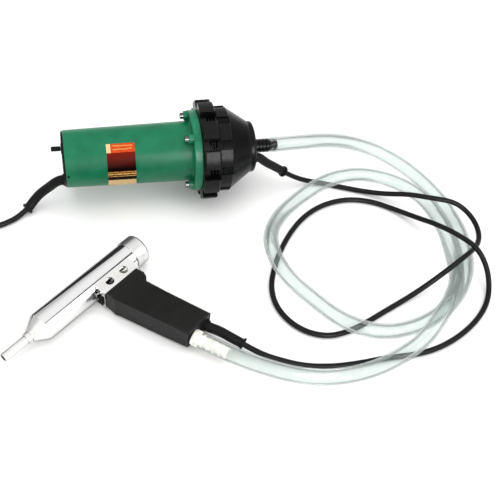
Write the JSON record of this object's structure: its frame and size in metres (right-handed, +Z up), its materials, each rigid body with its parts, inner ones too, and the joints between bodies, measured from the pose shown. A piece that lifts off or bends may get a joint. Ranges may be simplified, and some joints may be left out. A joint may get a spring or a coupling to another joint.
{
  "type": "split hot-air welder with blower, air hose and gun",
  "caption": "Hot-air welding set: a cylindrical blower with a castellated air ring feeds a clear hose to a tubular heater gun; a power cable joins the two.",
  "frame": {"origin": "on the bench, under the middle of the box around the blower and the gun, without the hose, cables and plug", "axes": "+Z up; +X along the blower's axis from its switch end to its hose outlet; +Y away from the gun"},
  "size_m": [0.7858, 0.4204, 0.1357],
  "materials": {
    "green_paint": "glossy enamel over a cast surface",
    "black_plastic": "satin moulded",
    "black_gloss_plastic": "glossy moulded",
    "black_rubber": "matt moulded rubber",
    "black_cable": "smooth satin jacket",
    "brown_plastic": "laminated board",
    "white_plastic": "moulded",
    "black_oxide": "blackened",
    "zinc_steel": "zinc plated",
    "bearing_steel": "ground",
    "core_steel": "stacked sheets",
    "stainless": "polished, slightly heat stained",
    "polished_chrome": "mirror polished",
    "cast_aluminium": "machined casting",
    "label_foil": "printed foil in plain colour bands",
    "copper_wire": "enamelled copper wire",
    "brass": "plain",
    "carbon": "pressed carbon",
    "white_ceramic": "unglazed",
    "clear_hose": "clear soft PVC"
  },
  "bodies": {
    "set": {"motor_housing": "green_paint", "rear_plate": "black_plastic", "rear_plate_screws": "zinc_steel", "rating_label": "label_foil", "flange_screws": "black_oxide", "fan_base": "black_plastic", "fan_cover": "black_plastic", "nose_cap": "black_plastic", "hose_nipple": "black_plastic", "switch_body": "black_plastic", "switch_bezel": "black_plastic", "mains_boot": "black_rubber", "outlet_boot": "black_rubber", "rear_carrier": "cast_aluminium", "front_carrier": "cast_aluminium", "rear_bearing": "bearing_steel", "front_bearing": "bearing_steel", "brush_plate": "brown_plastic", "brushes": "carbon", "stator_core": "core_steel", "field_windings": "copper_wire", "inlet_plate": "cast_aluminium", "diffuser_plate": "cast_aluminium", "terminal_block": "white_plastic", "nozzle": "stainless", "nozzle_nut": "stainless", "heater_cone": "stainless", "heater_tube": "polished_chrome", "rear_cap": "polished_chrome", "heater_core": "white_ceramic", "heating_wires": "stainless", "mica_sleeve": "white_ceramic", "rear_insulator": "white_ceramic", "wire_leads": "white_plastic", "handle_bracket": "stainless", "bracket_screws": "zinc_steel", "handle_upper": "black_gloss_plastic", "handle_lower": "black_gloss_plastic", "handle_screws": "zinc_steel", "cable_clamp": "black_plastic", "air_tube": "stainless", "hose_fitting": "white_plastic", "gun_boot": "black_rubber", "air_hose": "clear_hose", "gun_cable": "black_cable", "mains_cable": "black_cable", "mains_coil": "black_cable", "coil_tie": "white_plastic", "plug_body": "black_rubber", "plug_pins": "brass"},
    "air_ring": {"air_ring": "black_plastic"},
    "toggle": {"toggle_lever": "zinc_steel", "toggle_sleeve": "black_rubber"},
    "rotor": {"shaft": "bearing_steel", "commutator": "brass", "armature_core": "core_steel", "armature_windings": "copper_wire", "impeller_1": "cast_aluminium", "impeller_2": "cast_aluminium", "shaft_nut": "zinc_steel"}
  },
  "joints": [
    {"name": "rotor_spin", "type": "hinge", "parent": "set", "child": "rotor", "pos_m": [-0.01075, 0.11741, 0.06791], "axis": [1, 0, 0], "continuous": true},
    {"name": "air_ring_turn", "type": "hinge", "parent": "set", "child": "air_ring", "pos_m": [0.08225, 0.11741, 0.06791], "axis": [1, 0, 0], "range_deg": [0, 18]},
    {"name": "switch_toggle", "type": "hinge", "parent": "set", "child": "toggle", "pos_m": [-0.10675, 0.11741, 0.08791], "axis": [0, 1, 0], "range_deg": [-12, 12]}
  ]
}
